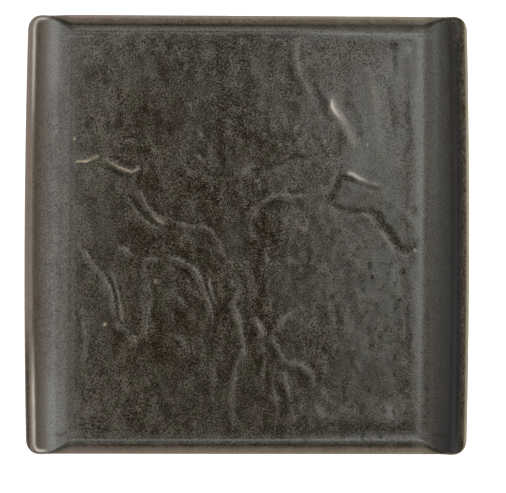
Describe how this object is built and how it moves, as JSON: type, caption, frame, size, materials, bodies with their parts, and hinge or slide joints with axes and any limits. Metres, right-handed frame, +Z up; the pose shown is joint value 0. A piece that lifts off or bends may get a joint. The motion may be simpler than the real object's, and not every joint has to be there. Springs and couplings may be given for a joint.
{
  "type": "serving platter",
  "caption": "Square stoneware serving platter with two sides curled up in wide coves, low end lips, a cleft-stone relief floor and a bare foot ring under dark reactive glaze.",
  "frame": {"origin": "on the table, under the middle of the platter", "axes": "+Z up, X across the two curled sides, Y from end lip to end lip"},
  "size_m": [0.2514, 0.25, 0.02],
  "materials": {
    "stoneware": "unglazed fired clay",
    "face_glaze": "satin, dark, speckled",
    "edge_glaze": "satin, brown where it runs thin",
    "outside_glaze": "satin, dark"
  },
  "bodies": {
    "root": {"stoneware_body": "stoneware", "face_glaze": "face_glaze", "edge_glaze": "edge_glaze", "outside_glaze": "outside_glaze", "recess_glaze": "outside_glaze"}
  },
  "joints": []
}
